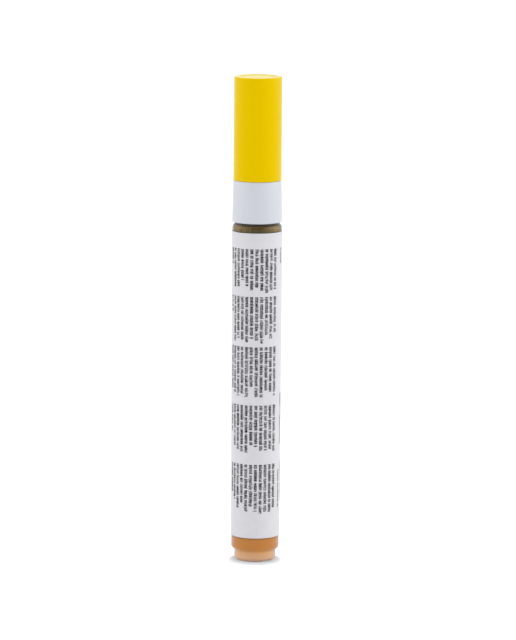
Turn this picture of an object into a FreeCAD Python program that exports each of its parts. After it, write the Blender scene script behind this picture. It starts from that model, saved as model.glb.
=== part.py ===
"""Valve-action porcelain paint marker, capped, standing on its foot.

Lengths are in millimetres. +Z runs from the foot to the cap along the marker's axis, the origin is the
centre of the foot's underside, and -Y is the side that shows the printed face of the label.

A translucent one-piece barrel holds the paint and a mixing ball. Its neck carries the white front section,
which clamps the valve on the neck's rim and guides the nib. Pressing the nib pushes the valve stem off its
seal against a coil spring. A yellow cap with an inner sealing cap slides over the front section.
"""
import FreeCAD, Part
import math
import os

# Barrel, one moulding with a closed floor, a recessed foot and a neck
barrel_diameter = 14.76         # across the shoulder
barrel_height = 102.0           # foot to shoulder
barrel_draft_angle = 0.148      # degrees, the barrel narrows towards its foot
barrel_wall = 1.55
shoulder_rounding = 1.4
foot_height = 2.95
foot_chamfer = 0.975            # 45 degrees, from the barrel's wall in to the foot
foot_wall = 1.9
foot_rounding = 1.1
floor_rise = 0.65               # reservoir floor above the top of the foot
floor_thickness = 1.3
floor_rounding = 1.0
notch_width = 3.2               # drain notch in the foot's rim
notch_height = 0.45
notch_azimuth = 38.0            # degrees from the front, towards +X
neck_height = 7.5
neck_wall = 0.75
neck_clearance = 0.05
snap_bead_radius = 0.3
snap_bead_rise = 4.2            # above the shoulder

# Label, a printed film wrapped once round the barrel with a lap seam at the back
label_thickness = 0.1
label_glue_gap = 0.05
label_bottom_margin = 3.65      # bare barrel between the foot's chamfer and the film
label_top_margin = 0.95         # bare barrel between the film and the shoulder's rounding
label_lap_angle = 14.0          # degrees

# Paint and mixing ball
paint_depth = 50.0
paint_gap = 0.05
ball_diameter = 5.2

# Front section, one moulding: collar, cap seat, cone, sealing land and nose
collar_gap = 0.4                # between shoulder and collar
collar_wall = 0.85              # at the collar's lower edge
collar_taper = 0.28             # on the radius
collar_roof = 3.5
collar_rounding = 0.25
seat_height = 6.0
seat_chamfer = 0.5
section_wall = 1.3
cone_step = 1.2                 # from the cap seat in to the cone
cone_height = 6.1
land_length = 3.0
land_step = 0.25
nose_wall = 0.8
nose_length = 4.5
nose_taper = 1.1                # on the radius
nose_rounding = 0.3
channel_mouth_drop = 0.65       # the nib channel's lower end, below the top of the cone
channel_groove_width = 0.6
channel_groove_depth = 0.35
channel_groove_count = 4

# Nib, a bonded fibre rod with a bullet point
nib_diameter = 2.4
nib_clearance = 0.1
nib_protrusion = 3.5
nib_point_length = 1.9
nib_point_diameter = 1.2
nib_point_rounding = 0.45
nib_tail_rounding = 0.2

# Valve: gasket on the neck's rim, flanged body, seal, stem, spring and spring cup
gasket_thickness = 0.6
gasket_inset = 0.15             # the gasket's hole, wider than the neck's bore on the radius
flange_thickness = 1.2
flange_clearance = 0.03
valve_diameter = 8.66
valve_wall = 0.8
valve_ledge_depth = 2.7
valve_rounding = 0.2
seal_thickness = 0.8
seal_clearance = 0.05
valve_travel = 2.0
spring_length = 8.2             # as fitted, valve shut
spring_wire = 0.55
spring_turns = 4                # open turns, between one closed turn at each end
spring_turn_gap = 0.06          # between a closed turn and the next
spring_end_gap = 0.02
stem_cup_wall = 0.85
stem_cup_depth = 3.1
stem_cup_floor = 0.9
stem_cup_clearance = 0.05
stem_stop_gap = 0.05            # left under the stem's cup at full travel
stem_shank_diameter = 2.2
stem_rib_count = 4
stem_rib_depth = 0.45
stem_rib_width = 0.5
stem_rib_clearance = 0.1        # to the seal's hole, and as much again to the valve body's
stem_tail_diameter = 2.0
stem_tail_reach = 0.6           # into the spring cup's floor
stem_tail_clearance = 0.1
stem_tail_rounding = 0.3
stem_rounding = 0.2
stem_head_thickness = 0.6
spring_cup_floor = 1.0
spring_cup_plug = 1.0
spring_cup_web = 0.5            # left on each side of a hole in the spring cup
spring_cup_hole_count = 4
window_width = 2.4
window_height = 3.6
window_count = 4

# Cap and inner sealing cap
cap_seat_gap = 0.05
cap_wall = 0.95
cap_fit = 0.05
cap_draft = 0.05                # on the radius, narrower at the top
cap_headroom = 5.15             # over the nib
cap_top_thickness = 1.6
cap_top_rounding = 0.25
cap_dish_depth = 0.15
cap_dish_margin = 1.6           # rim left round the dish
cap_mouth_chamfer = 0.25
cap_mouth_rounding = 0.15
inner_cap_wall = 0.7
inner_cap_top = 0.8
inner_cap_fit = 0.05
inner_cap_rounding = 0.2
inner_cap_lip_lap = 2.2         # length of lip on the sealing land
inner_cap_rib_count = 6
inner_cap_rib_width = 0.7
inner_cap_rib_length = 7.0

ORIGIN = FreeCAD.Vector(0, 0, 0)
UP = FreeCAD.Vector(0, 0, 1)
OVERSHOOT = 1.0                 # how far a cutting tool runs past the face that it cuts
SPRING_STEPS = 8                # points in each turn of the spring's centre line

# Radii, from the barrel inwards and outwards
shoulder_radius = barrel_diameter / 2
draft = math.tan(math.radians(barrel_draft_angle))


def barrel_radius(z):
    """Outside radius of the barrel's drafted wall at height z."""
    return shoulder_radius - draft * (barrel_height - z)


foot_radius = barrel_radius(foot_height + foot_chamfer) - foot_chamfer
bore_radius = shoulder_radius - barrel_wall
neck_radius = bore_radius + neck_wall
collar_bore_radius = neck_radius + neck_clearance
collar_base_radius = collar_bore_radius + collar_wall
collar_top_radius = collar_base_radius - collar_taper
cap_bore_radius = collar_top_radius - cap_wall
seat_radius = cap_bore_radius - cap_fit
chamber_radius = seat_radius - section_wall
cone_base_radius = seat_radius - cone_step
nib_radius = nib_diameter / 2
channel_radius = nib_radius + nib_clearance
nose_tip_radius = channel_radius + nose_wall
land_radius = nose_tip_radius + nose_taper
inner_cap_bore_radius = land_radius + inner_cap_fit
inner_cap_radius = inner_cap_bore_radius + inner_cap_wall
valve_radius = valve_diameter / 2
valve_bore_radius = valve_radius - valve_wall
stem_cup_bore_radius = nib_radius + stem_cup_clearance
stem_cup_radius = stem_cup_bore_radius + stem_cup_wall
shank_radius = stem_shank_diameter / 2
rib_radius = shank_radius + stem_rib_depth
seal_hole_radius = rib_radius + stem_rib_clearance
ledge_hole_radius = seal_hole_radius + stem_rib_clearance
tail_radius = stem_tail_diameter / 2
guide_radius = tail_radius + stem_tail_clearance
spring_radius = (tail_radius + valve_bore_radius) / 2
head_radius = spring_radius + spring_wire

# Heights, from the foot up
chamfer_top = foot_height + foot_chamfer
floor_level = foot_height + floor_rise
label_bottom = chamfer_top + label_bottom_margin
label_top = barrel_height - shoulder_rounding - label_top_margin
neck_top = barrel_height + neck_height
gasket_top = neck_top + gasket_thickness
flange_top = gasket_top + flange_thickness
collar_bottom = barrel_height + collar_gap
collar_top = flange_top + collar_roof
seat_top = collar_top + seat_height
cone_top = seat_top + cone_height
land_top = cone_top + land_length
nose_top = land_top + nose_length
nib_tip = nose_top + nib_protrusion
ledge_bottom = flange_top - valve_ledge_depth
seal_bottom = ledge_bottom - seal_thickness
head_cone_top = seal_bottom - seal_clearance + seal_hole_radius - shank_radius
head_cone_bottom = head_cone_top - (head_radius - shank_radius)
head_bottom = head_cone_bottom - stem_head_thickness
spring_seat = head_bottom - spring_length
valve_bottom = spring_seat - spring_cup_plug
stem_cup_bottom = flange_top + valve_travel + stem_stop_gap
nib_tail = stem_cup_bottom + stem_cup_floor
inner_cap_ceiling = nib_tip + cap_headroom
cap_ceiling = inner_cap_ceiling + inner_cap_top
cap_bottom = collar_top + cap_seat_gap
cap_top = cap_ceiling + cap_top_thickness + cap_dish_depth


def outline(corners):
    """Closed wire in the XZ plane through (radius, height) corners, each with an optional rounding."""
    points = [FreeCAD.Vector(corner[0], 0, corner[1]) for corner in corners]
    arcs = {}
    starts = []
    ends = []
    for index, corner in enumerate(corners):
        here = points[index]
        rounding = corner[2] if len(corner) > 2 else 0
        if not rounding:
            starts.append(here)
            ends.append(here)
            continue
        back = (points[index - 1] - here).normalize()
        ahead = (points[(index + 1) % len(points)] - here).normalize()
        half_turn = back.getAngle(ahead) / 2
        run = rounding / math.tan(half_turn)
        middle = (back + ahead).normalize() * (rounding / math.sin(half_turn) - rounding)
        starts.append(here + back * run)
        ends.append(here + ahead * run)
        arcs[index] = Part.Arc(starts[-1], here + middle, ends[-1]).toShape()
    path = []
    for index in range(len(points)):
        if index in arcs:
            path.append(arcs[index])
        start, end = ends[index], starts[(index + 1) % len(points)]
        if start.distanceToPoint(end) > 1e-6:
            path.append(Part.LineSegment(start, end).toShape())
    return Part.Wire(Part.__sortEdges__(path))


def turned(corners, angle=360.0):
    """Solid of revolution about +Z from an outline of (radius, height, rounding) corners."""
    return Part.Face(outline(corners)).revolve(ORIGIN, UP, angle)


def around(shape, count, first=0.0):
    """The shape and its copies, evenly spaced about the axis, as one compound."""
    copies = []
    for index in range(count):
        copy = shape.copy()
        copy.rotate(ORIGIN, UP, first + index * 360.0 / count)
        copies.append(copy)
    return Part.makeCompound(copies)


def block(inner, outer, width, low, high):
    """Box from radius inner to outer along +X, centred on the XZ plane."""
    return Part.makeBox(outer - inner, width, high - low, FreeCAD.Vector(inner, -width / 2, low))


def make_barrel():
    """Barrel with foot recess, drain notch, shoulder, neck and snap bead, open at the neck."""
    recess_radius = foot_radius - foot_wall
    recess_top = floor_level - floor_thickness
    body = turned([
        (0, recess_top), (recess_radius, recess_top, foot_rounding), (recess_radius, 0),
        (foot_radius, 0, foot_rounding), (foot_radius, foot_height),
        (barrel_radius(chamfer_top), chamfer_top),
        (shoulder_radius, barrel_height, shoulder_rounding), (bore_radius, barrel_height),
        (barrel_radius(floor_level) - barrel_wall, floor_level, floor_rounding), (0, floor_level),
    ])
    neck_root = barrel_height - shoulder_rounding
    neck = turned([(bore_radius, neck_root), (neck_radius, neck_root),
                   (neck_radius, neck_top), (bore_radius, neck_top)])
    bead = Part.makeTorus(neck_radius, snap_bead_radius, FreeCAD.Vector(0, 0, barrel_height + snap_bead_rise))
    bore = Part.makeCylinder(neck_radius - snap_bead_radius / 2, 4 * snap_bead_radius,
                             FreeCAD.Vector(0, 0, barrel_height + snap_bead_rise - 2 * snap_bead_radius))
    notch = block(recess_radius - OVERSHOOT / 2, foot_radius + OVERSHOOT, notch_width,
                  -OVERSHOOT, notch_height)
    notch.rotate(ORIGIN, UP, notch_azimuth - 90.0)
    return body.fuse([neck, bead.cut(bore)]).cut(notch).removeSplitter()


def make_label():
    """Wrapped film that follows the barrel's draft, with the lap seam as a second layer at the back."""
    def layer(first, last, angle):
        """Band of film from one offset off the barrel to another."""
        low, high = barrel_radius(label_bottom), barrel_radius(label_top)
        return turned([(low + first, label_bottom), (low + last, label_bottom),
                       (high + last, label_top), (high + first, label_top)], angle)
    outside = label_glue_gap + label_thickness
    lap = layer(outside - label_thickness / 2, outside + label_thickness, label_lap_angle)
    lap.rotate(ORIGIN, UP, 90.0 - label_lap_angle / 2)
    return layer(label_glue_gap, outside, 360.0).fuse(lap).removeSplitter()


def make_ball():
    """Steel mixing ball that rests on the reservoir's floor."""
    radius = ball_diameter / 2
    return Part.makeSphere(radius, FreeCAD.Vector(0, 0, floor_level + paint_gap + radius))


def make_paint():
    """Paint standing in the reservoir round the mixing ball."""
    level = floor_level + paint_depth
    bottom = floor_level + paint_gap
    inset = barrel_wall + paint_gap
    fill = turned([(0, bottom), (barrel_radius(bottom) - inset, bottom, floor_rounding),
                   (barrel_radius(level) - inset, level), (0, level)])
    radius = ball_diameter / 2
    room = Part.makeSphere(radius + paint_gap, FreeCAD.Vector(0, 0, bottom + radius))
    return fill.cut(room)


def make_front_section():
    """Collar, cap seat, cone, sealing land and nose in one moulding, with the grooved nib channel."""
    groove_rise = barrel_height + snap_bead_rise
    groove_radius = snap_bead_radius + neck_clearance
    channel_bottom = cone_top - channel_mouth_drop
    body = turned([
        (collar_bore_radius, collar_bottom), (collar_base_radius, collar_bottom, collar_rounding),
        (collar_top_radius, collar_top, collar_rounding), (seat_radius, collar_top),
        (seat_radius, seat_top, seat_chamfer), (cone_base_radius, seat_top, collar_rounding),
        (land_radius + land_step, cone_top), (land_radius, cone_top), (land_radius, land_top, nose_rounding),
        (nose_tip_radius, nose_top, nose_rounding), (channel_radius, nose_top),
        (channel_radius, channel_bottom), (chamber_radius, seat_top - section_wall),
        (chamber_radius, flange_top), (collar_bore_radius, flange_top),
    ])
    snap_groove = Part.makeTorus(neck_radius, groove_radius, FreeCAD.Vector(0, 0, groove_rise))
    groove = block(channel_radius / 2, channel_radius + channel_groove_depth, channel_groove_width,
                   channel_bottom - section_wall, nose_top + OVERSHOOT)
    grooves = around(groove, channel_groove_count, 45.0)
    return body.cut(snap_groove).cut(grooves).removeSplitter()


def make_nib():
    """Fibre nib from its tail in the stem's cup to its bullet point."""
    point_start = nib_tip - nib_point_length
    return turned([(0, nib_tail), (nib_radius, nib_tail, nib_tail_rounding), (nib_radius, point_start),
                   (nib_point_diameter / 2, nib_tip, nib_point_rounding), (0, nib_tip)])


def make_gasket():
    """Soft ring between the neck's rim and the valve's flange."""
    hole_radius = bore_radius + gasket_inset
    return turned([(hole_radius, neck_top), (neck_radius, neck_top),
                   (neck_radius, gasket_top), (hole_radius, gasket_top)])


def make_valve_body():
    """Flanged tube with the seal's ledge at its top and feed windows in its side."""
    flange_radius = collar_bore_radius - flange_clearance
    body = turned([
        (valve_bore_radius, valve_bottom), (valve_radius, valve_bottom),
        (valve_radius, gasket_top, valve_rounding),
        (flange_radius, gasket_top), (flange_radius, flange_top), (ledge_hole_radius, flange_top),
        (ledge_hole_radius, ledge_bottom), (valve_bore_radius, ledge_bottom),
    ])
    middle = spring_seat + spring_length / 2
    window = block(valve_bore_radius / 2, valve_radius + OVERSHOOT, window_width,
                   middle - window_height / 2, middle + window_height / 2)
    return body.cut(around(window, window_count)).removeSplitter()


def make_valve_seal():
    """Soft ring under the valve body's ledge, on which the stem's cone shuts."""
    outer = valve_bore_radius - flange_clearance
    return turned([(seal_hole_radius, seal_bottom), (outer, seal_bottom),
                   (outer, ledge_bottom), (seal_hole_radius, ledge_bottom)])


def make_valve_stem():
    """Stem with the nib's cup, a ribbed shank, a sealing cone and a guided tail."""
    tail_end = valve_bottom - stem_tail_reach
    stem = turned([
        (0, tail_end), (tail_radius, tail_end, stem_tail_rounding), (tail_radius, head_bottom),
        (head_radius, head_bottom), (head_radius, head_cone_bottom), (shank_radius, head_cone_top),
        (shank_radius, stem_cup_bottom), (stem_cup_radius, stem_cup_bottom),
        (stem_cup_radius, nib_tail + stem_cup_depth, stem_rounding),
        (stem_cup_bore_radius, nib_tail + stem_cup_depth),
        (stem_cup_bore_radius, nib_tail - stem_cup_clearance), (0, nib_tail - stem_cup_clearance),
    ])
    rib = block(0, rib_radius, stem_rib_width, ledge_bottom, stem_cup_bottom + stem_cup_floor / 2)
    return stem.fuse(around(rib, stem_rib_count, 45.0)).removeSplitter()


def make_spring_cup():
    """Perforated cup that closes the valve body, guides the stem's tail and carries the spring."""
    plug_radius = valve_bore_radius - flange_clearance
    cup = turned([
        (guide_radius, valve_bottom - spring_cup_floor),
        (valve_radius, valve_bottom - spring_cup_floor, valve_rounding),
        (valve_radius, valve_bottom), (plug_radius, valve_bottom), (plug_radius, spring_seat),
        (guide_radius, spring_seat),
    ])
    hole = Part.makeCylinder((plug_radius - guide_radius) / 2 - spring_cup_web,
                             spring_cup_floor + spring_cup_plug + 2 * OVERSHOOT,
                             FreeCAD.Vector((guide_radius + plug_radius) / 2, 0,
                                            valve_bottom - spring_cup_floor - OVERSHOOT))
    return cup.cut(around(hole, spring_cup_hole_count, 45.0)).removeSplitter()


def make_spring():
    """Compression spring with one closed turn at each end, as fitted with the valve shut."""
    bottom = spring_seat + spring_end_gap + spring_wire / 2
    closed_rise = spring_wire + spring_turn_gap
    rise = spring_length - spring_wire - 2 * spring_end_gap
    open_rise = (rise - 2 * closed_rise) / spring_turns
    points = []
    for step in range((spring_turns + 2) * SPRING_STEPS + 1):
        turns = step / SPRING_STEPS
        open_turns = min(max(turns - 1, 0), spring_turns)
        height = bottom + open_turns * open_rise + (turns - open_turns) * closed_rise
        angle = 2 * math.pi * turns
        points.append(FreeCAD.Vector(spring_radius * math.cos(angle), spring_radius * math.sin(angle),
                                     height))
    line = Part.BSplineCurve()
    line.interpolate(points)
    section = Part.Wire(Part.makeCircle(spring_wire / 2, points[0], line.tangent(line.FirstParameter)[0]))
    return Part.Wire(line.toShape()).makePipeShell([section], True, True)


def make_cap():
    """Yellow outer cap with a drafted side and a shallow dish in its top."""
    mouth_radius = collar_top_radius
    top_radius = mouth_radius - cap_draft
    dish_radius = top_radius - cap_dish_margin
    dish_level = cap_top - cap_dish_depth
    return turned([
        (cap_bore_radius + cap_mouth_chamfer, cap_bottom), (mouth_radius, cap_bottom, cap_mouth_rounding),
        (top_radius, cap_top, cap_top_rounding), (dish_radius, cap_top, cap_dish_depth / 2),
        (dish_radius - cap_dish_depth, dish_level), (0, dish_level),
        (0, cap_ceiling), (cap_bore_radius, cap_ceiling),
        (cap_bore_radius, cap_bottom + cap_mouth_chamfer),
    ])


def make_inner_cap():
    """Sealing cap inside the outer cap: a lip on the nose's land, a ceiling flange and centring ribs."""
    flange_radius = cap_bore_radius - flange_clearance
    mouth = land_top - inner_cap_lip_lap
    cup = turned([
        (inner_cap_bore_radius, mouth), (inner_cap_radius, mouth, inner_cap_rounding),
        (inner_cap_radius, inner_cap_ceiling),
        (flange_radius, inner_cap_ceiling), (flange_radius, cap_ceiling), (0, cap_ceiling),
        (0, inner_cap_ceiling), (inner_cap_bore_radius, inner_cap_ceiling),
    ])
    rib = block(inner_cap_radius - inner_cap_wall / 2, flange_radius, inner_cap_rib_width,
                inner_cap_ceiling - inner_cap_rib_length, inner_cap_ceiling + inner_cap_top / 2)
    rounding = turned([(0, mouth), (flange_radius, mouth), (flange_radius, cap_ceiling), (0, cap_ceiling)])
    return cup.fuse(around(rib, inner_cap_rib_count).common(rounding)).removeSplitter()


parts = {
    "barrel": make_barrel,
    "label": make_label,
    "mixing_ball": make_ball,
    "paint": make_paint,
    "front_section": make_front_section,
    "nib": make_nib,
    "neck_gasket": make_gasket,
    "valve_body": make_valve_body,
    "valve_seal": make_valve_seal,
    "valve_stem": make_valve_stem,
    "valve_spring": make_spring,
    "spring_cup": make_spring_cup,
    "cap": make_cap,
    "inner_cap": make_inner_cap,
}

os.makedirs("parts", exist_ok=True)
for name, make in parts.items():
    shape = make()
    shape.exportStep("parts/" + name + ".step")
    box = shape.BoundBox
    print("%-14s %d solid, valid %s, %8.1f mm3, z %6.2f to %6.2f" % (
        name, len(shape.Solids), shape.isValid(), shape.Volume, box.ZMin, box.ZMax))
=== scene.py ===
"""Looks of a capped porcelain paint marker that stands on its foot in a white studio.

Lengths are in metres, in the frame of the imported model. +Z runs from the foot to the cap, and -Y is the
front, where the printed panel of the label faces the camera.
"""
import logging
import math
import random
from dataclasses import dataclass
from enum import Enum
from typing import Any, Callable, Iterable, Optional, Sequence

import bmesh
import bpy
from mathutils import Matrix, Vector


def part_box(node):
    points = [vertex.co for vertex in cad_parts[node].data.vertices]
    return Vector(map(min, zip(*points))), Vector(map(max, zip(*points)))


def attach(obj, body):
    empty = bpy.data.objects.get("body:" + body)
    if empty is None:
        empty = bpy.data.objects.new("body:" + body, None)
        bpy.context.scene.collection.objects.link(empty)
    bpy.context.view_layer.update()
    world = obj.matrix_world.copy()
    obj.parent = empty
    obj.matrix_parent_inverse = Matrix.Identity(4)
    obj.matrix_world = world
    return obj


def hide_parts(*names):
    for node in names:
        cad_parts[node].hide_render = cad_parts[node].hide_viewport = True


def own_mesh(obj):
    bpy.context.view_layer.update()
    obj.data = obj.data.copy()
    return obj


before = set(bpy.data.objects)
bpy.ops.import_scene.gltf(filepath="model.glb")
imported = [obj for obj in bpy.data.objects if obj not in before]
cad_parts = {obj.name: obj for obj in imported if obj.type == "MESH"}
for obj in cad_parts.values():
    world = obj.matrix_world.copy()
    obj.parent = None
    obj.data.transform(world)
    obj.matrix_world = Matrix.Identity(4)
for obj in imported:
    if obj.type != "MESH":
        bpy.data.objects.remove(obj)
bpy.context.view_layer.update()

MM = 0.001
SIDES = 192                     # facets round a turned piece
MERGE = 0.001 * MM              # points closer than this become one
SLACK = 0.002 * MM              # how far a point may lie off its ring
SHARP = 25.0                    # degrees between two faces, above which their edge stays sharp
NOISE_LOW, NOISE_HIGH = 0.3, 0.7    # nearly all values of a noise texture lie between these

Pair = tuple[float, float]
Triple = tuple[float, float, float]
Tree = bpy.types.NodeTree
Socket = bpy.types.NodeSocket
Piece = bpy.types.Object

log = logging.getLogger("marker")


class Body(Enum):
    """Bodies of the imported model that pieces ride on."""

    MARKER = "marker_body"
    NIB = "nib_unit"
    CAP = "cap_unit"


class Slot(Enum):
    """Material slots of the record."""

    CAP = "yellow_cap"
    SECTION = "white_section"
    BARREL = "tinted_barrel"
    LABEL = "label_film"
    INK = "print_ink"
    PAINT = "paint"
    NIB = "nib_fibre"
    INNER_CAP = "inner_cap"
    VALVE = "valve_plastic"
    RUBBER = "seal_rubber"
    SPRING = "spring_steel"
    BALL = "ball_steel"


Materials = dict[Slot, bpy.types.Material]


def linear(colour: str) -> tuple[float, ...]:
    """Turns an sRGB hex colour into linear light.

    Args:
        colour: Six hex digits, with or without a leading hash.

    Returns:
        Red, green, blue and an alpha of one.
    """
    digits = colour.lstrip("#")
    channels = [int(digits[start:start + 2], 16) / 255 for start in (0, 2, 4)]
    red, green, blue = [c / 12.92 if c <= 0.04045 else ((c + 0.055) / 1.055) ** 2.4 for c in channels]
    return red, green, blue, 1.0


def add_node(tree: Tree, kind: str, settings: Optional[dict[str, Any]] = None,
             values: Optional[dict[Any, Any]] = None,
             links: Optional[dict[Any, Any]] = None) -> bpy.types.Node:
    """Adds a node to a tree, sets it and links it.

    Args:
        tree: The material's or the world's node tree.
        kind: The node's type name.
        settings: Properties of the node itself.
        values: Input sockets, by name or index, and the constants that they get.
        links: Input sockets, by name or index, and the output sockets that feed them.

    Returns:
        The new node.
    """
    node = tree.nodes.new(kind)
    for name, value in (settings or {}).items():
        setattr(node, name, value)
    for socket, value in (values or {}).items():
        node.inputs[socket].default_value = value
    for socket, source in (links or {}).items():
        tree.links.new(source, node.inputs[socket])
    return node


def noise_shade(tree: Tree, place: Socket, scale: Triple, detail: float, shades: Pair) -> Socket:
    """Gives a noise that varies between two shares of a colour.

    Args:
        tree: The material's node tree.
        place: Object coordinates.
        scale: Patches of the noise in a metre along X, Y and Z.
        detail: How finely the patches break up.
        shades: The darkest and the lightest share.

    Returns:
        The share's socket.
    """
    scaled = add_node(tree, "ShaderNodeMapping", values={"Scale": scale}, links={"Vector": place})
    noise = add_node(tree, "ShaderNodeTexNoise", values={"Scale": 1.0, "Detail": detail},
                     links={"Vector": scaled.outputs["Vector"]})
    low, high = shades
    shade = add_node(tree, "ShaderNodeMapRange",
                     values={"From Min": NOISE_LOW, "From Max": NOISE_HIGH, "To Min": low, "To Max": high},
                     links={"Value": noise.outputs["Fac"]})
    return shade.outputs[0]


@dataclass(frozen=True)
class Plastic:
    """Injection-moulded plastic: one body colour, a soft gloss and a faint skin from the steel mould."""

    name: str
    colour: str
    roughness: float
    ior: float = 1.49
    depth_share: float = 0.0    # share of the light that scatters under the skin
    depth: float = 0.6 * MM     # how far that light goes
    depth_spread: Triple = (1.0, 0.8, 0.6)  # share of that way for red, green and blue
    clear_share: float = 0.0    # share of the light that passes through
    shine_colour: str = "#FFFFFF"   # of its reflections, seen straight on
    haze: float = 0.0           # pale glow where the surface is seen nearly edge on
    haze_colour: str = "#FFFFFF"
    haze_width: float = 0.35
    skin_grain: float = 0.35 * MM
    skin_height: float = 0.004 * MM

    def base_colour(self, tree: Tree, place: Socket) -> Optional[Socket]:
        """Gives the socket that colours the surface, or None for one even colour."""
        return None

    def material(self) -> bpy.types.Material:
        """Builds the finish as a material.

        Returns:
            The material, with a skin that is bump only.
        """
        made = bpy.data.materials.new(self.name)
        made.use_nodes = True
        tree = made.node_tree
        shader = tree.nodes["Principled BSDF"]
        constants = {
            "Base Color": linear(self.colour), "Roughness": self.roughness, "IOR": self.ior,
            "Specular Tint": linear(self.shine_colour), "Subsurface Weight": self.depth_share,
            "Subsurface Radius": self.depth_spread, "Subsurface Scale": self.depth,
            "Transmission Weight": self.clear_share, "Sheen Weight": self.haze,
            "Sheen Roughness": self.haze_width, "Sheen Tint": linear(self.haze_colour),
        }
        for socket, value in constants.items():
            shader.inputs[socket].default_value = value
        place = add_node(tree, "ShaderNodeTexCoord").outputs["Object"]
        colour = self.base_colour(tree, place)
        if colour is not None:
            tree.links.new(colour, shader.inputs["Base Color"])
        grain = add_node(tree, "ShaderNodeTexNoise", values={"Scale": 1 / self.skin_grain, "Detail": 2.0},
                         links={"Vector": place})
        bump = add_node(tree, "ShaderNodeBump", values={"Strength": 1.0, "Distance": self.skin_height},
                        links={"Height": grain.outputs["Fac"]})
        tree.links.new(bump.outputs["Normal"], shader.inputs["Normal"])
        return made


@dataclass(frozen=True)
class TintedBarrel(Plastic):
    """Translucent polypropylene that shows what is behind it, pigment below and a drained paint film above,
    with painted light and shade.
    """

    rim_painted_light_colour: str = "#FFD0AA"       # painted light: the foot's thin lower rim, next to the floor, made lighter
    foot_colour: str = "#FBC184"      # bare plastic with light in it
    band_colour: str = "#DC8C28"      # settled pigment behind the wall
    chamfer_painted_light_colour: str = "#F8AA52"   # painted light: the chamfer, which faces down, made lighter
    label_edge_painted_shade_colour: str = "#8C5A2E"      # painted shade under the label's lower edge
    ring_colour: str = "#9A7A26"      # thin drained film behind the shoulder
    neck_painted_shade_colour: str = "#2E2212"      # painted shade: dark where the shoulder meets the neck, in the gap under the collar, and just above the label's upper edge; also behind the label
    clear_ring: float = 0.7           # share of the light that passes through the shoulder
    layer_height: float = 0.35 * MM   # of the settled pigment
    painted_shade_front: float = -7.4 * MM     # Y at which the painted shade on the shoulder is darkest, as the front view shows it
    painted_shade_side: float = -5.0 * MM      # Y from which on, all round the back, that painted shade is palest
    painted_shade_shares: Pair = (0.75, 1.5)   # painted shade: shares of its colour at those two, chosen to match the front view
    streak_width: float = 0.45 * MM
    streak_length: float = 6.0 * MM
    streak_shades: Pair = (0.45, 1.4)
    layer_shades: Pair = (0.92, 1.06)
    foot_top: float = 2.9 * MM
    chamfer_top: float = 4.3 * MM
    blend: float = 0.2 * MM
    label_bottom: float = 7.5 * MM
    label_middle: float = 50.0 * MM
    label_top: float = 99.6 * MM
    shoulder_top: float = 101.7 * MM
    height: float = 110.0 * MM

    def base_colour(self, tree: Tree, place: Socket) -> Optional[Socket]:
        """Colours the barrel by height, with painted light and shade, and its shoulder with a painted shade
        by Y and streaks.

        Args:
            tree: The material's node tree.
            place: Object coordinates.

        Returns:
            The colour socket.
        """
        parts = add_node(tree, "ShaderNodeSeparateXYZ", links={"Vector": place})
        height = parts.outputs["Z"]
        share = add_node(tree, "ShaderNodeMath", settings={"operation": "DIVIDE"}, values={1: self.height},
                         links={0: height})
        zones = add_node(tree, "ShaderNodeValToRGB", links={"Fac": share.outputs[0]})
        stops = ((0.0, self.rim_painted_light_colour), (self.foot_top - self.blend, self.foot_colour),
                 (self.foot_top + self.blend, self.chamfer_painted_light_colour), (self.chamfer_top, self.band_colour),
                 (self.label_bottom - 2 * self.blend, self.band_colour),
                 (self.label_bottom, self.label_edge_painted_shade_colour),
                 (self.label_middle, self.neck_painted_shade_colour), (self.label_top, self.neck_painted_shade_colour),
                 (self.label_top + 2 * self.blend, self.ring_colour),
                 (self.shoulder_top - self.blend, self.ring_colour),
                 (self.shoulder_top + self.blend, self.neck_painted_shade_colour))
        ramp = zones.color_ramp
        while len(ramp.elements) < len(stops):
            ramp.elements.new(1.0)
        for element, (stop, colour) in zip(ramp.elements, stops):
            element.position = stop / self.height
            element.color = linear(colour)
        stretch = (1 / self.streak_width, 1 / self.streak_width, 1 / self.streak_length)
        streaks = noise_shade(tree, place, stretch, 3.0, self.streak_shades)
        darkest, palest = self.painted_shade_shares
        # painted shade on the shoulder by Y: darker at the front, paler at the sides and back
        film = add_node(tree, "ShaderNodeMapRange",
                        values={"From Min": self.painted_shade_front, "From Max": self.painted_shade_side, "To Min": darkest,
                                "To Max": palest}, links={"Value": parts.outputs["Y"]})
        uneven = add_node(tree, "ShaderNodeMath", settings={"operation": "MULTIPLY"},
                          links={0: streaks, 1: film.outputs[0]})
        drained = add_node(tree, "ShaderNodeMath", settings={"operation": "GREATER_THAN"},
                           values={1: self.label_middle}, links={0: height})
        # above the label's middle: the streaks times the painted shade by Y
        streaked_and_shaded = add_node(tree, "ShaderNodeMix", values={"A": 1.0},
                            links={"Factor": drained.outputs[0], "B": uneven.outputs[0]})
        layers = noise_shade(tree, place, (0, 0, 1 / self.layer_height), 2.0, self.layer_shades)
        shaded = add_node(tree, "ShaderNodeMath", settings={"operation": "MULTIPLY"},
                          links={0: streaked_and_shaded.outputs[0], 1: layers})
        mixed = add_node(tree, "ShaderNodeVectorMath", settings={"operation": "SCALE"},
                         links={0: zones.outputs["Color"], "Scale": shaded.outputs[0]})
        clear = add_node(tree, "ShaderNodeMix", values={"A": self.clear_share, "B": self.clear_ring},
                         links={"Factor": drained.outputs[0]})
        tree.links.new(clear.outputs[0], tree.nodes["Principled BSDF"].inputs["Transmission Weight"])
        return mixed.outputs[0]


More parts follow.
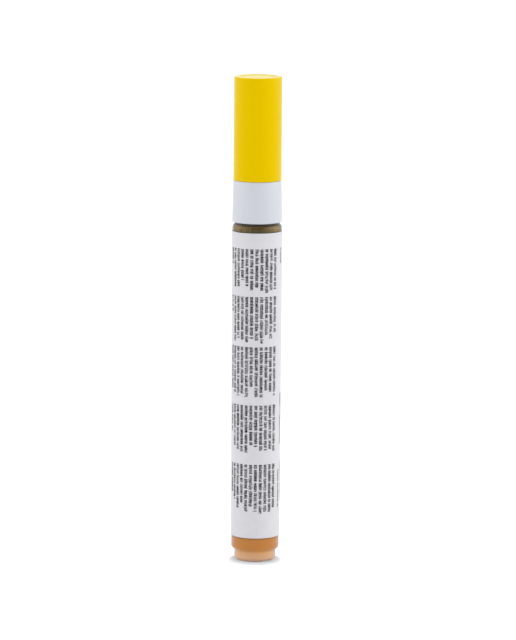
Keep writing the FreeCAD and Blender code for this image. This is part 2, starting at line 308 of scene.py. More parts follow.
@dataclass(frozen=True)
class Clouded(Plastic):
    """Plastic whose colour is a little uneven, in patches that may be drawn out along Z."""

    patch_width: float = 2.5 * MM
    patch_length: float = 2.5 * MM
    patch_detail: float = 4.0
    patch_shades: Pair = (0.97, 1.02)

    def base_colour(self, tree: Tree, place: Socket) -> Optional[Socket]:
        """Lightens and darkens the colour from patch to patch.

        Args:
            tree: The material's node tree.
            place: Object coordinates.

        Returns:
            The colour socket.
        """
        scale = (1 / self.patch_width, 1 / self.patch_width, 1 / self.patch_length)
        shade = noise_shade(tree, place, scale, self.patch_detail, self.patch_shades)
        mixed = add_node(tree, "ShaderNodeVectorMath", settings={"operation": "SCALE"},
                         values={0: linear(self.colour)[:3]}, links={"Scale": shade})
        return mixed.outputs[0]


@dataclass(frozen=True)
class PrintedFilm(Clouded):
    """White polypropylene film with a satin varnish, a little uneven where it was rolled on."""


@dataclass(frozen=True)
class BondedFibre(Clouded):
    """Bonded polyester fibre, cut and ground to a point: fine fibres run along it."""

    patch_width: float = 0.08 * MM
    patch_length: float = 1.5 * MM
    patch_detail: float = 2.0
    patch_shades: Pair = (0.8, 1.1)


@dataclass(frozen=True)
class Steel(Plastic):
    """Drawn or polished stainless steel, a metal with a fine skin."""

    ior: float = 1.5

    def material(self) -> bpy.types.Material:
        """Builds the finish as a metal.

        Returns:
            The material.
        """
        made = super().material()
        made.node_tree.nodes["Principled BSDF"].inputs["Metallic"].default_value = 1.0
        return made


FINISHES: dict[Slot, Plastic] = {
    # Yellow polypropylene, injection-moulded and polished: even colour, weak gloss, a pale glow at its sides
    Slot.CAP: Plastic("yellow polypropylene", "#E4BE00", 0.14, ior=1.22, shine_colour="#F0E000", haze=0.5,
                      haze_colour="#ECFF98"),
    # White polypropylene: slightly cool, with light under its skin
    Slot.SECTION: Plastic("white polypropylene", "#CDCED4", 0.3, ior=1.5, depth_share=0.1),
    # Natural polypropylene with paint behind it
    Slot.BARREL: TintedBarrel("translucent polypropylene", "#B97A41", 0.3, clear_share=0.35, haze=1.0,
                              haze_colour="#CCE6FF"),
    Slot.LABEL: PrintedFilm("varnished white film", "#D4D1D5", 0.36, ior=1.42),
    # Offset ink: nearly black and a little duller than the film
    Slot.INK: Plastic("black offset ink", "#141316", 0.45, ior=1.35),
    Slot.PAINT: Plastic("liquid porcelain paint", "#B9641F", 0.15),
    Slot.NIB: BondedFibre("bonded polyester fibre", "#DAD5C8", 0.85),
    Slot.INNER_CAP: Plastic("natural polyethylene", "#E6E6E2", 0.45, depth_share=0.3),
    Slot.VALVE: Plastic("natural acetal", "#DEDEDA", 0.4, depth_share=0.2),
    Slot.RUBBER: Plastic("black nitrile rubber", "#1E1E20", 0.7),
    Slot.SPRING: Steel("drawn stainless wire", "#B9BABC", 0.25),
    Slot.BALL: Steel("polished stainless ball", "#C4C5C8", 0.12),
}


@dataclass(frozen=True)
class Corner:
    """One corner of a turned outline: its radius, its height, and how far its edge is rounded off."""

    radius: float
    height: float
    rounding: float = 0.0


class Lathe:
    """Turned piece: a disc or a ring extruded through the corners of its outline, with bevelled edges."""

    def __init__(self, name: str, outline: Sequence[Corner], sides: int = SIDES, segments: int = 6,
                 open_through: bool = False) -> None:
        """Extrudes the outline and rounds its corners.

        Args:
            name: The piece's name.
            outline: Corners from the disc that starts the piece to the disc that ends it, or round the wall.
            sides: Facets round the piece.
            segments: Facets across each rounded edge.
            open_through: Whether the piece is a wall round a hole, whose outline ends where it starts.
        """
        bpy.ops.object.select_all(action="DESELECT")
        start = outline[0]
        bpy.ops.mesh.primitive_circle_add(vertices=sides, radius=start.radius, location=(0, 0, start.height),
                                          fill_type="NOTHING" if open_through else "NGON")
        self.piece = bpy.context.object
        self.piece.name = name
        self.piece.data.name = name
        bpy.ops.object.transform_apply(location=True)
        bpy.ops.object.mode_set(mode="EDIT")
        bpy.ops.mesh.select_mode(type="VERT")
        bpy.ops.mesh.select_all(action="SELECT")
        before = start
        for corner in (*outline[1:], start) if open_through else outline[1:]:
            self._extrude(before, corner)
            before = corner
        if open_through:
            bpy.ops.mesh.select_all(action="SELECT")
            bpy.ops.mesh.remove_doubles(threshold=MERGE)
            bpy.ops.mesh.normals_make_consistent(inside=False)
        for corner in outline:
            if corner.rounding:
                self.pick_edges(lambda a, b, c=corner: on_ring(a, c) and on_ring(b, c))
                bpy.ops.mesh.bevel(offset=corner.rounding, segments=segments, affect="EDGES")

    def _extrude(self, before: Corner, after: Corner) -> None:
        """Extrudes the selected disc or ring from one corner of the outline to the next."""
        rise = after.height - before.height
        bpy.ops.mesh.extrude_region_move(TRANSFORM_OT_translate={"value": (0, 0, rise)})
        ratio = after.radius / before.radius
        bpy.ops.transform.resize(value=(ratio, ratio, 1), center_override=(0, 0, after.height))

    def pick_edges(self, test: Callable[[Vector, Vector], bool]) -> None:
        """Selects the edges whose two ends pass the test, and nothing else."""
        bpy.ops.mesh.select_mode(type="EDGE")
        bpy.ops.mesh.select_all(action="DESELECT")
        mesh = bmesh.from_edit_mesh(self.piece.data)
        for edge in mesh.edges:
            edge.select = test(edge.verts[0].co, edge.verts[1].co)
        bmesh.update_edit_mesh(self.piece.data)

    def cut_box(self, size: Triple, centre: Triple, turn: float) -> None:
        """Cuts a box out of the piece.

        Args:
            size: The box's lengths along X, Y and Z.
            centre: Its centre, before it is turned.
            turn: Its turn about Z, in radians.
        """
        bpy.ops.object.mode_set(mode="OBJECT")
        bpy.ops.mesh.primitive_cube_add(size=1)
        tool = bpy.context.object
        for step in (Matrix.Diagonal((*size, 1)), Matrix.Translation(centre), Matrix.Rotation(turn, 4, "Z")):
            tool.data.transform(step)
        only(self.piece)
        modifier = self.piece.modifiers.new("cut", "BOOLEAN")
        modifier.operation = "DIFFERENCE"
        modifier.object = tool
        bpy.ops.object.modifier_apply(modifier=modifier.name)
        bpy.data.objects.remove(tool)
        bpy.ops.object.mode_set(mode="EDIT")

    def finish(self) -> Piece:
        """Turns the faces outwards, smooths the piece and leaves edit mode.

        Returns:
            The finished piece.
        """
        bpy.ops.mesh.select_mode(type="FACE")
        bpy.ops.mesh.select_all(action="SELECT")
        bpy.ops.mesh.normals_make_consistent(inside=False)
        bpy.ops.object.mode_set(mode="OBJECT")
        bpy.ops.object.shade_smooth_by_angle(angle=math.radians(SHARP))
        return self.piece


def on_ring(point: Vector, corner: Corner) -> bool:
    """Tells whether a point lies on the ring that a corner of an outline makes."""
    return abs(point.z - corner.height) < SLACK and abs(point.xy.length - corner.radius) < SLACK


def only(piece: Piece) -> None:
    """Makes a piece the active one and the only one that is selected."""
    bpy.ops.object.select_all(action="DESELECT")
    piece.select_set(True)
    bpy.context.view_layer.objects.active = piece


def dress(piece: Piece, slot: Slot, materials: Materials) -> None:
    """Gives a piece one material in place of those it has.

    Args:
        piece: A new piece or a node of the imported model.
        slot: The record's slot that the finish belongs to.
        materials: One material for each slot.
    """
    if not piece.material_slots:
        piece.data.materials.append(None)
    for held in piece.material_slots:
        held.material = materials[slot]


def seat(piece: Piece, body: Body, slot: Slot, materials: Materials, node: Optional[str] = None) -> Piece:
    """Dresses a new piece, fixes it to its body, and hides the node that it stands for.

    Args:
        piece: The finished piece.
        body: The body that it rides on.
        slot: The record's slot for its finish.
        materials: One material for each slot.
        node: The node that it replaces, if any.

    Returns:
        The piece.
    """
    dress(piece, slot, materials)
    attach(piece, body.value)
    if node:
        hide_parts(node)
    log.info("%s rides on %s, %d faces", piece.name, body.value, len(piece.data.polygons))
    return piece


@dataclass
class Cap:
    """Yellow cap with a shallow dish in its top, over a bore that takes the front section."""

    wall: float = 0.95 * MM
    draft: float = 0.05 * MM
    dish_depth: float = 0.15 * MM
    dish_margin: float = 1.6 * MM
    top_rounding: float = 0.25 * MM
    mouth_rounding: float = 0.15 * MM
    mouth_chamfer: float = 0.25 * MM
    roof: float = 1.6 * MM          # between the dish and the inner cap

    def build(self, materials: Materials) -> list[Piece]:
        """Models the cap and dresses it.

        Args:
            materials: One material for each slot.

        Returns:
            The new pieces.
        """
        low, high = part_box("cap")
        mouth = high[0]
        top = mouth - self.draft
        dish = top - self.dish_margin
        bore = mouth - self.wall
        shell = Lathe("cap_shell", [
            Corner(bore, high[2] - self.dish_depth - self.roof), Corner(bore, low[2] + self.mouth_chamfer),
            Corner(bore + self.mouth_chamfer, low[2]), Corner(mouth, low[2], self.mouth_rounding),
            Corner(top, high[2], self.top_rounding),
            Corner(dish, high[2], self.dish_depth / 2),
            Corner(dish - self.dish_depth, high[2] - self.dish_depth, self.dish_depth / 2),
        ]).finish()
        dress(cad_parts["inner_cap"], Slot.INNER_CAP, materials)
        return [seat(shell, Body.CAP, Slot.CAP, materials, "cap")]


@dataclass
class FrontSection:
    """White collar, and inside the cap the cap seat, the cone and the nose that guides the nib."""

    collar_height: float = 12.4 * MM
    collar_taper: float = 0.28 * MM
    collar_wall: float = 0.85 * MM
    collar_rounding: float = 0.25 * MM
    bore_height: float = 8.9 * MM
    snap_height: float = 3.8 * MM   # of the groove for the neck's bead
    snap_width: float = 0.7 * MM
    snap_depth: float = 0.3 * MM
    cap_wall: float = 0.95 * MM
    cap_fit: float = 0.05 * MM
    seat_height: float = 6.0 * MM
    seat_rounding: float = 0.45 * MM
    cone_step: float = 1.2 * MM
    cone_height: float = 6.1 * MM
    land_radius: float = 3.2 * MM
    land_step: float = 0.25 * MM
    land_height: float = 3.0 * MM
    nose_radius: float = 2.1 * MM
    nose_rounding: float = 0.3 * MM
    section_wall: float = 1.3 * MM
    channel_radius: float = 1.3 * MM
    channel_mouth_drop: float = 0.65 * MM   # the channel's lower end, below the top of the cone
    groove_width: float = 0.6 * MM
    groove_reach: float = 1.65 * MM
    groove_count: int = 4
    first_groove: float = 45.0      # degrees from +X

    def build(self, materials: Materials) -> list[Piece]:
        """Models the front section and dresses it.

        Args:
            materials: One material for each slot.

        Returns:
            The new pieces.
        """
        low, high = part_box("front_section")
        foot, top = low[2], high[2]
        base = high[0]
        collar_top = foot + self.collar_height
        shoulder = base - self.collar_taper
        seat_radius = shoulder - self.cap_wall - self.cap_fit
        seat_top = collar_top + self.seat_height
        cone_top = seat_top + self.cone_height
        bore = base - self.collar_wall
        snap = foot + self.snap_height
        channel_bottom = cone_top - self.channel_mouth_drop
        chamber = seat_radius - self.section_wall
        lathe = Lathe("front_section_shell", [
            Corner(bore, foot + self.bore_height), Corner(bore, snap + self.snap_width / 2),
            Corner(bore + self.snap_depth, snap, self.snap_depth / 2),
            Corner(bore, snap - self.snap_width / 2), Corner(bore, foot),
            Corner(base, foot, self.collar_rounding), Corner(shoulder, collar_top, self.collar_rounding),
            Corner(seat_radius, collar_top), Corner(seat_radius, seat_top, self.seat_rounding),
            Corner(seat_radius - self.cone_step, seat_top, self.collar_rounding),
            Corner(self.land_radius + self.land_step, cone_top), Corner(self.land_radius, cone_top),
            Corner(self.land_radius, cone_top + self.land_height, self.nose_rounding),
            Corner(self.nose_radius, top, self.nose_rounding),
            Corner(self.channel_radius, top), Corner(self.channel_radius, channel_bottom),
            Corner(chamber, seat_top - self.section_wall), Corner(chamber, foot + self.bore_height),
        ], open_through=True)
        groove_bottom = channel_bottom - self.section_wall
        length = top - groove_bottom + MM   # through the nose and out of it
        for turn in range(self.groove_count):
            angle = math.radians(self.first_groove + turn * 360 / self.groove_count)
            lathe.cut_box((self.groove_reach, self.groove_width, length),
                          (self.groove_reach / 2, 0, groove_bottom + length / 2), angle)
        shell = lathe.finish()
        return [seat(shell, Body.MARKER, Slot.SECTION, materials, "front_section")]


@dataclass
class Nib:
    """Fibre nib with a bullet point."""

    point_length: float = 1.9 * MM
    point_radius: float = 0.6 * MM
    point_rounding: float = 0.45 * MM
    tail_rounding: float = 0.2 * MM
    sides: int = 48

    def build(self, materials: Materials) -> list[Piece]:
        """Models the nib and dresses it and its stem.

        Args:
            materials: One material for each slot.

        Returns:
            The new pieces.
        """
        low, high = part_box("nib")
        rod = Lathe("nib_rod", [
            Corner(high[0], low[2], self.tail_rounding),
            Corner(high[0], high[2] - self.point_length, self.point_rounding),
            Corner(self.point_radius, high[2], self.point_rounding),
        ], sides=self.sides).finish()
        dress(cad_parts["valve_stem"], Slot.VALVE, materials)
        return [seat(rod, Body.NIB, Slot.NIB, materials, "nib")]


@dataclass
class ValveSpring:
    """Compression spring on the spring cup, which the stem's head shortens as the nib is pressed."""

    wire: float = 0.55 * MM
    open_turns: int = 4             # between one closed turn at each end
    turn_gap: float = 0.06 * MM     # between a closed turn and the next
    travel: float = 2.0 * MM        # of the nib
    clearance: float = 0.04 * MM    # to the stem's head at full travel
    steps: int = 24                 # points in each turn
    sharp: float = 60.0             # degrees, so that only the edges of the wire's ends stay sharp

    def build(self, materials: Materials) -> list[Piece]:
        """Winds the spring and dresses it.

        Args:
            materials: One material for each slot.

        Returns:
            The new pieces.
        """
        low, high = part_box("valve_spring")
        line = bpy.data.curves.new("valve_spring_coil", "CURVE")
        line.dimensions = "3D"
        line.bevel_depth = self.wire / 2
        line.use_fill_caps = True
        points = self._centre_line(high[0] - self.wire / 2, low[2] + self.wire / 2, high[2] - self.wire / 2)
        spline = line.splines.new("POLY")
        spline.points.add(len(points) - 1)
        for held, point in zip(spline.points, points):
            held.co = (*point, 1.0)
        coil = bpy.data.objects.new("valve_spring_coil", line)
        bpy.context.scene.collection.objects.link(coil)
        only(coil)
        bpy.ops.object.convert(target="MESH")
        bpy.ops.object.mode_set(mode="EDIT")
        bpy.ops.mesh.select_all(action="SELECT")
        bpy.ops.mesh.remove_doubles(threshold=MERGE)
        bpy.ops.mesh.normals_make_consistent(inside=False)
        bpy.ops.object.mode_set(mode="OBJECT")
        bpy.ops.object.shade_smooth_by_angle(angle=math.radians(self.sharp))
        seat(coil, Body.MARKER, Slot.SPRING, materials, "valve_spring")
        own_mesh(coil)
        return [coil]

    def _centre_line(self, radius: float, bottom: float, top: float) -> list[Vector]:
        """Follows the middle of the wire.

        Args:
            radius: Radius of the coil at the middle of the wire.
            bottom: Height where the wire starts.
            top: Height where it ends.

        Returns:
            Points from the bottom to the top.
        """
        closed_rise = self.wire + self.turn_gap
        open_rise = (top - bottom - 2 * closed_rise) / self.open_turns
        points = []
        for step in range((self.open_turns + 2) * self.steps + 1):
            turns = step / self.steps
            risen = min(max(turns - 1, 0), self.open_turns)
            height = bottom + risen * open_rise + (turns - risen) * closed_rise
            angle = 2 * math.pi * turns
            points.append(Vector((radius * math.cos(angle), radius * math.sin(angle), height)))
        return points


@dataclass
class Barrel:
    """Translucent barrel with its shoulder, its neck, and a chamfer down to the hollow foot."""

    draft: float = 0.002583         # narrowing of the radius for each unit of height
    shoulder_height: float = 102.0 * MM
    shoulder_rounding: float = 1.4 * MM
    shoulder_steps: int = 12
    wall: float = 1.55 * MM
    neck_wall: float = 0.75 * MM
    foot_radius: float = 6.15 * MM
    foot_height: float = 2.95 * MM
    foot_wall: float = 1.9 * MM
    foot_rounding: float = 1.1 * MM
    chamfer: float = 0.975 * MM
    chamfer_rounding: float = 0.25 * MM
    recess_top: float = 2.3 * MM
    floor: float = 3.6 * MM
    floor_rounding: float = 1.0 * MM
    bead_height: float = 106.2 * MM
    bead_size: float = 0.3 * MM
    notch_width: float = 3.2 * MM
    notch_height: float = 0.45 * MM
    notch_azimuth: float = 38.0     # degrees from the front, towards +X

    def radius(self, height: float) -> float:
        """Gives the outside radius of the drafted wall at a height."""
        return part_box("barrel")[1][0] - self.draft * (self.shoulder_height - height)

    def build(self, materials: Materials) -> list[Piece]:
        """Models the barrel and dresses it and what it holds.

        Args:
            materials: One material for each slot.

        Returns:
            The new pieces.
        """
        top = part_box("barrel")[1][2]
        shoulder = self.radius(self.shoulder_height)
        bore = shoulder - self.wall
        neck = bore + self.neck_wall
        chamfer_top = self.foot_height + self.chamfer
        recess = self.foot_radius - self.foot_wall
        lathe = Lathe("barrel_shell", [
            Corner(recess, self.recess_top, self.foot_rounding), Corner(recess, 0),
            Corner(self.foot_radius, 0, self.foot_rounding),
            Corner(self.foot_radius, self.foot_height, self.chamfer_rounding / 2),
            Corner(self.radius(chamfer_top), chamfer_top, self.chamfer_rounding),
            *self._shoulder(shoulder, neck), Corner(neck, self.bead_height - self.bead_size),
            Corner(neck + self.bead_size, self.bead_height, self.bead_size / 2),
            Corner(neck, self.bead_height + self.bead_size), Corner(neck, top), Corner(bore, top),
            Corner(bore, self.shoulder_height),
            Corner(self.radius(self.floor) - self.wall, self.floor, self.floor_rounding),
        ])
        lathe.cut_box((self.notch_width, 2 * self.foot_wall, 2 * self.notch_height),
                      (0, -(recess + self.foot_wall / 2), 0), math.radians(self.notch_azimuth))
        shell = lathe.finish()
        inner = {"paint": Slot.PAINT, "mixing_ball": Slot.BALL, "neck_gasket": Slot.RUBBER,
                 "valve_body": Slot.VALVE, "valve_seal": Slot.RUBBER, "spring_cup": Slot.VALVE}
        for node, slot in inner.items():
            dress(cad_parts[node], slot, materials)
        return [seat(shell, Body.MARKER, Slot.BARREL, materials, "barrel")]

    def _shoulder(self, outside: float, neck: float) -> list[Corner]:
        """Rounds the wall over until it meets the neck.

        Args:
            outside: Radius of the wall below the rounding.
            neck: Radius of the neck.

        Returns:
            Corners from the wall to the neck's root.
        """
        size = self.shoulder_rounding
        last = math.acos((neck - outside + size) / size)
        turns = [last * step / self.shoulder_steps for step in range(self.shoulder_steps + 1)]
        radius, height = outside - size, self.shoulder_height - size
        return [Corner(radius + size * math.cos(turn), height + size * math.sin(turn)) for turn in turns]


class Stroke(Enum):
    """How a greeked letter reaches out of the height of small letters."""

    SMALL = "small"
    TALL = "tall"
    HANGING = "hanging"


STROKES = (Stroke.SMALL, Stroke.SMALL, Stroke.SMALL, Stroke.TALL, Stroke.TALL, Stroke.HANGING)
WORD_LENGTHS = range(2, 11)             # letters
LETTER_WIDTHS = (2, 3, 3, 3, 4)         # rows


@dataclass(frozen=True)
class PrintBlock:
    """One paragraph of greeked print: the height of its first letters and the length of each line, in mm."""

    top: float
    lines: tuple[float, ...]


@dataclass(frozen=True)
class PrintLine:
    """One line of greeked print by itself: its side, its first letter's height and its length, in mm."""

    azimuth: float
    top: float
    length: float
    tall: int       # print columns in the height of a small letter


@dataclass
class Label:
    """White film round the barrel, with a lap seam at the back and a panel of greeked print at the front."""

    thickness: float = 0.1 * MM
    lap_angle: float = 14.0         # degrees round the back, where the film lies double
    columns: int = 312              # print columns round the film
    columns_per_line: int = 10
    first_line: float = 46.6        # degrees from the front, towards +X, to the first line's middle
    letter_columns: int = 6         # print columns in the height of a small letter
    rows: int = 780                 # print rows up the film
    light_fill: float = 0.78        # share of a letter's cells that carry ink, in the lightest words
    joint_fill: float = 0.22        # the same for the row between two letters
    heavy_letters: int = 3          # at the start of a block
    word_gap: int = 3               # rows
    letter_room: int = 3            # rows that a letter needs before the line's end
    ink_height: float = 0.012 * MM  # above the film
    seed: int = 7
    blocks: tuple[PrintBlock, ...] = (
        PrintBlock(94.9, (12.1, 12.6, 13.1, 12.4, 11.6, 12.4, 11.2, 9.4, 11.9, 12.3, 4.8)),
        PrintBlock(80.7, (11.0, 12.6, 11.9, 13.9, 13.0, 12.9, 14.2, 12.9, 12.9, 13.8, 4.9)),
        PrintBlock(65.5, (14.8, 13.6, 13.2, 15.3, 15.0, 12.2, 15.2, 14.4, 15.1, 14.2, 12.8)),
        PrintBlock(48.0, (14.0, 13.2, 13.9, 13.9, 12.4, 12.0, 14.6, 14.4, 13.8, 12.6, 8.2)),
        PrintBlock(30.0, (13.4, 14.8, 15.0, 14.9, 14.5, 13.2, 14.4, 11.9, 13.2, 11.0, 9.0)),
    )
    side_lines: tuple[PrintLine, ...] = (
        PrintLine(68.0, 94.9, 4.8, 4), PrintLine(73.0, 51.0, 4.2, 2), PrintLine(73.0, 44.4, 9.1, 2),
        PrintLine(66.0, 28.0, 11.9, 4), PrintLine(80.0, 30.0, 13.0, 2), PrintLine(84.0, 30.0, 12.0, 2),
        PrintLine(88.0, 30.0, 12.6, 2), PrintLine(77.0, 51.0, 15.2, 2), PrintLine(81.0, 51.0, 14.6, 2),
    )

    def build(self, materials: Materials) -> list[Piece]:
        """Models the film and its print and dresses them.

        Args:
            materials: One material for each slot.

        Returns:
            The new pieces.
        """
        film = self._film()
        ink = self._print(film)
        return [seat(film, Body.MARKER, Slot.LABEL, materials, "label"),
                seat(ink, Body.MARKER, Slot.INK, materials)]

    @property
    def row(self) -> float:
        """Height of one print row."""
        low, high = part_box("label")
        return (high[2] - low[2]) / self.rows

    def _film(self) -> Piece:
        """Wraps the film round the barrel.

        Returns:
            The film, raised at the back where it laps.
        """
        low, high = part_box("label")
        top_radius = high[0]
        bottom_radius = top_radius - Barrel().draft * (high[2] - low[2])
        inside = self.thickness
        film = Lathe("label_film", [
            Corner(bottom_radius - inside, low[2]), Corner(bottom_radius, low[2]),
            Corner(top_radius, high[2]), Corner(top_radius - inside, high[2]),
        ], open_through=True)
        bpy.ops.mesh.select_mode(type="FACE")
        mesh = bmesh.from_edit_mesh(film.piece.data)
        for face in mesh.faces:
            centre = face.calc_center_median()
            away = math.degrees(math.atan2(centre.x, centre.y))
            outer = centre.xy.length > (bottom_radius + top_radius - inside) / 2 and abs(face.normal.z) < 0.5
            face.select = outer and abs(away) < self.lap_angle / 2
        bmesh.update_edit_mesh(film.piece.data)
        bpy.ops.mesh.extrude_region_shrink_fatten(TRANSFORM_OT_shrink_fatten={"value": self.thickness})
        return film.finish()

    def _print(self, film: Piece) -> Piece:
        """Lays the greeked print on the film.

        Args:
            film: The film that carries it.

        Returns:
            The print, a thin layer just above the film.
        """
        inked = self._pattern()
        radius, _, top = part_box("label")[1]
        bpy.ops.object.select_all(action="DESELECT")
        bpy.ops.mesh.primitive_cylinder_add(vertices=self.columns, radius=radius, depth=self.row,
                                            location=(0, 0, top - self.row / 2), end_fill_type="NOTHING")
        ink = bpy.context.object
        ink.name = "label_print"
        ink.data.name = "label_print"
        bpy.ops.object.transform_apply(location=True)
        used = {column for column, _ in inked}
        self._drop_faces(ink, lambda column, row: column not in used, top)
        stack = ink.modifiers.new("rows", "ARRAY")
        stack.use_relative_offset = False
        stack.use_constant_offset = True
        stack.constant_offset_displace = (0, 0, -self.row)
        stack.count = self.rows
        bpy.ops.object.modifier_apply(modifier=stack.name)
        self._drop_faces(ink, lambda column, row: (column, row) not in inked, top)
        wrap = ink.modifiers.new("lay", "SHRINKWRAP")
        wrap.target = film
        wrap.wrap_method = "PROJECT"    # along the normals, which keeps each height
        wrap.use_negative_direction = True
        wrap.wrap_mode = "ABOVE_SURFACE"
        wrap.offset = self.ink_height
        bpy.ops.object.modifier_apply(modifier=wrap.name)
        bpy.ops.object.shade_smooth()
        return ink

    def _drop_faces(self, ink: Piece, test: Callable[[int, int], bool], top: float) -> None:
        """Deletes the faces whose column and row pass a test.

        Args:
            ink: The print.
            test: Tells whether the face at a column and a row goes.
            top: Height of the film's upper edge.
        """
        only(ink)
        bpy.ops.object.mode_set(mode="EDIT")
        bpy.ops.mesh.select_mode(type="FACE")
        mesh = bmesh.from_edit_mesh(ink.data)
        width, height = 360 / self.columns, self.row
        for face in mesh.faces:
            centre = face.calc_center_median()
            column = math.floor(math.degrees(math.atan2(centre.x, -centre.y)) / width)
            face.select = test(column, int((top - centre.z) / height))
        bmesh.update_edit_mesh(ink.data)
        bpy.ops.mesh.delete(type="FACE")
        bpy.ops.mesh.select_all(action="SELECT")
        bpy.ops.mesh.remove_doubles(threshold=self.row / 10)
        bpy.ops.object.mode_set(mode="OBJECT")

    def _pattern(self) -> set[tuple[int, int]]:
        """Decides which cells of the print carry ink.

        Returns:
            Columns, counted from the front towards +X, and rows, counted from the film's upper edge.
        """
        chance = random.Random(self.seed)
        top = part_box("label")[1][2]
        step = 360 / self.columns
        inked: set[tuple[int, int]] = set()
        for block in self.blocks:
            for number, length in enumerate(block.lines):
                column = round(self.first_line / step) - number * self.columns_per_line
                row = round((top - block.top * MM) / self.row)
                last_row = row + round(length * MM / self.row)
                self._line(inked, chance, column, row, last_row, self.letter_columns, bold=number == 0)
        for line in self.side_lines:
            row = round((top - line.top * MM) / self.row)
            last_row = row + round(line.length * MM / self.row)
            self._line(inked, chance, round(line.azimuth / step), row, last_row, line.tall, bold=False)
        return inked

    def _line(self, inked: set[tuple[int, int]], chance: random.Random, middle: int, row: int, last_row: int,
              tall: int, bold: bool) -> None:
        """Sets one line of greeked words.

        Args:
            inked: The cells so far, which the line is added to.
            chance: The source of word lengths and letter shapes.
            middle: Column of the line's middle.
            row: Row where the line starts.
            last_row: Row where it ends.
            tall: Columns in the height of a small letter.
            bold: Whether the line starts with a heavier word.
        """
        heavy = self.heavy_letters if bold else 0
        while row < last_row:
            fill = chance.uniform(self.light_fill, 1.0)
            for _ in range(chance.choice(WORD_LENGTHS)):
                if row + self.letter_room > last_row:
                    return
                stroke = Stroke.TALL if heavy > 0 else chance.choice(STROKES)
                row = self._letter(inked, chance, middle - tall // 2, row, tall, stroke,
                                   1.0 if heavy > 0 else fill)
                heavy -= 1
            row += self.word_gap

    def _letter(self, inked: set[tuple[int, int]], chance: random.Random, foot: int, row: int, tall: int,
                stroke: Stroke, fill: float) -> int:
        """Sets one greeked letter, a block of cells with a few left open.

        Args:
            inked: The cells so far, which the letter is added to.
            chance: The source of its open cells.
            foot: Column that the letter stands on.
            row: Row where the letter starts.
            tall: Columns in the height of a small letter.
            stroke: How it reaches out of the line.
            fill: Share of its cells that carry ink.

        Returns:
            The row where the next letter starts.
        """
        rows = chance.choice(LETTER_WIDTHS)
        for step in range(rows + 1):
            share = fill if step < rows else self.joint_fill
            inked.update((foot + rise, row + step) for rise in range(tall) if chance.random() < share)
        reach = row + chance.randrange(rows)
        if stroke is Stroke.TALL:
            inked.update(((foot + tall, reach), (foot + tall + 1, reach)))
        if stroke is Stroke.HANGING:
            inked.update(((foot - 1, reach), (foot - 2, reach)))
        return row + rows + 1


@dataclass(frozen=True)
class Lamp:
    """One wide, distant lamp: its direction in degrees, how wide it looks, and its light on what faces it."""

    name: str
    azimuth: float      # from the front, towards +X
    elevation: float
    spread: float
    strength: float
    floor_only: bool = False


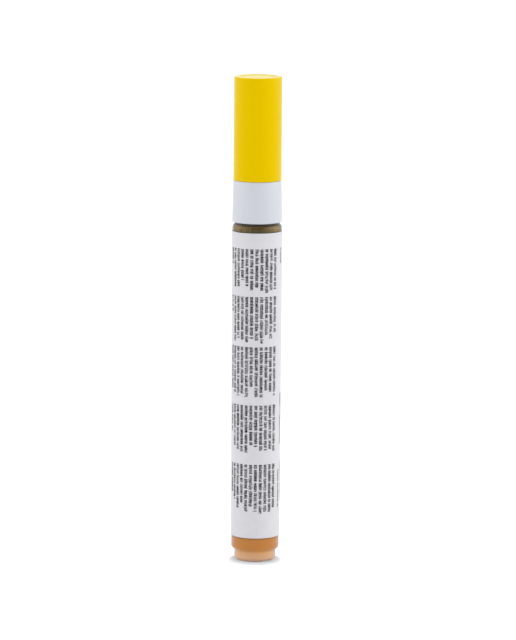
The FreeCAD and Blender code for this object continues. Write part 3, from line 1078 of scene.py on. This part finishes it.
@dataclass
class Studio:
    """White floor, white surroundings with a dark front for gloss, lamps, and the photograph's camera."""

    eye: Triple = (0.00045, -1.1958, 0.2646)
    pitch: float = 9.12             # degrees below the horizon
    roll: float = 0.42              # degrees
    lens: float = 228.3             # mm
    sensor: float = 36.0            # mm
    clip: Pair = (0.01, 100.0)
    level: float = 0.62             # even light from all round, where one is white
    front_level: float = 0.12       # what shows in gloss from the front, the studio's dark side
    gloss_turn: Pair = (-0.1, 0.6)  # -Y part of a direction, where gloss leaves white and reaches that level
    floor_size: float = 30.0
    floor_colour: str = "#C7CBCE"
    glow_colour: str = "#F4F9FF"
    floor_glow: float = 0.23        # added only where the camera sees the floor
    lamps: tuple[Lamp, ...] = (
        Lamp("left_lamp", -75.0, 12.0, 70.0, 0.42), Lamp("right_lamp", 75.0, 12.0, 70.0, 0.55),
        Lamp("top_lamp", 180.0, 78.0, 60.0, 0.25),
        Lamp("shadow_lamp", 180.0, 88.8, 1.6, 0.58, floor_only=True),
    )

    def build(self) -> None:
        """Sets up the floor, the surroundings, the lamps, the camera and the view."""
        floor = self._floor()
        self._surroundings()
        for lamp in self.lamps:
            self._hang(lamp, floor)
        self._camera()
        bpy.context.scene.view_settings.view_transform = "Standard"

    def _floor(self) -> Piece:
        """Lays a white floor that lifts itself to the white of the surroundings but keeps the shadow.

        Returns:
            The floor.
        """
        bpy.ops.object.select_all(action="DESELECT")
        bpy.ops.mesh.primitive_plane_add(size=self.floor_size)
        floor = bpy.context.object
        floor.name = "studio_floor"
        made = bpy.data.materials.new("white sweep")
        made.use_nodes = True
        tree = made.node_tree
        tree.nodes.clear()
        path = add_node(tree, "ShaderNodeLightPath")
        cloth = add_node(tree, "ShaderNodeBsdfDiffuse", values={"Color": linear(self.floor_colour)})
        glow = add_node(tree, "ShaderNodeEmission",
                        values={"Color": linear(self.glow_colour), "Strength": self.floor_glow})
        both = add_node(tree, "ShaderNodeAddShader", links={0: cloth.outputs[0], 1: glow.outputs[0]})
        seen = add_node(tree, "ShaderNodeMixShader", links={0: path.outputs["Is Camera Ray"],
                                                            1: cloth.outputs[0], 2: both.outputs[0]})
        add_node(tree, "ShaderNodeOutputMaterial", links={"Surface": seen.outputs[0]})
        floor.data.materials.append(made)
        return floor

    def _surroundings(self) -> None:
        """Makes the surroundings white to the camera, darker at the front to gloss, and softer as a light."""
        world = bpy.data.worlds.new("white surroundings")
        bpy.context.scene.world = world
        world.use_nodes = True
        tree = world.node_tree
        tree.nodes.clear()
        path = add_node(tree, "ShaderNodeLightPath")
        way = add_node(tree, "ShaderNodeTexCoord").outputs["Generated"]
        towards_front = add_node(tree, "ShaderNodeVectorMath", settings={"operation": "DOT_PRODUCT"},
                                 values={1: (0, -1, 0)}, links={0: way})
        start, end = self.gloss_turn
        gloss = add_node(tree, "ShaderNodeMapRange",
                         values={"From Min": start, "From Max": end, "To Min": 1.0,
                                 "To Max": self.front_level},
                         links={"Value": towards_front.outputs["Value"]})
        seen = add_node(tree, "ShaderNodeMath", settings={"operation": "MAXIMUM"},
                        links={0: path.outputs["Is Camera Ray"], 1: path.outputs["Is Transmission Ray"]})
        soft = add_node(tree, "ShaderNodeMix", values={"A": self.level, "B": 1.0},
                        links={"Factor": seen.outputs[0]})
        strength = add_node(tree, "ShaderNodeMix",
                            links={"Factor": path.outputs["Is Glossy Ray"], "A": soft.outputs[0],
                                   "B": gloss.outputs[0]})
        sky = add_node(tree, "ShaderNodeBackground", values={"Color": (1, 1, 1, 1)},
                       links={"Strength": strength.outputs[0]})
        add_node(tree, "ShaderNodeOutputWorld", links={"Surface": sky.outputs[0]})

    def _hang(self, lamp: Lamp, floor: Piece) -> None:
        """Hangs one lamp, which may light the floor alone, where the object still throws its shadow.

        Args:
            lamp: The lamp.
            floor: The floor.
        """
        data = bpy.data.lights.new(lamp.name, "SUN")
        data.energy = lamp.strength * math.pi
        data.angle = math.radians(lamp.spread)
        hung = bpy.data.objects.new(lamp.name, data)
        if lamp.floor_only:
            lit = bpy.data.collections.new("lit_by_" + lamp.name)
            lit.objects.link(floor)
            hung.light_linking.receiver_collection = lit
        bpy.context.scene.collection.objects.link(hung)
        turn = Matrix.Rotation(math.radians(lamp.azimuth), 4, "Z")
        hung.rotation_euler = (turn @ Matrix.Rotation(math.radians(90 - lamp.elevation), 4, "X")).to_euler()

    def _camera(self) -> None:
        """Stands the camera where the photograph was taken from."""
        data = bpy.data.cameras.new("camera")
        data.lens = self.lens
        data.sensor_width = self.sensor
        data.clip_start, data.clip_end = self.clip
        camera = bpy.data.objects.new("camera", data)
        bpy.context.scene.collection.objects.link(camera)
        camera.location = self.eye
        tilt = Matrix.Rotation(math.radians(90 - self.pitch), 4, "X")
        camera.rotation_euler = (tilt @ Matrix.Rotation(math.radians(self.roll), 4, "Z")).to_euler()
        bpy.context.scene.camera = camera


def main() -> None:
    """Builds and dresses the marker's sub-assemblies in order, then the studio round them."""
    logging.basicConfig(level=logging.INFO, format="%(message)s")
    materials = {slot: finish.material() for slot, finish in FINISHES.items()}
    for assembly in (Barrel(), ValveSpring(), Label(), FrontSection(), Nib(), Cap()):
        pieces = assembly.build(materials)
        log.info("%s has %d new pieces", type(assembly).__name__, len(pieces))
    Studio().build()


if __name__ == "__main__":
    main()
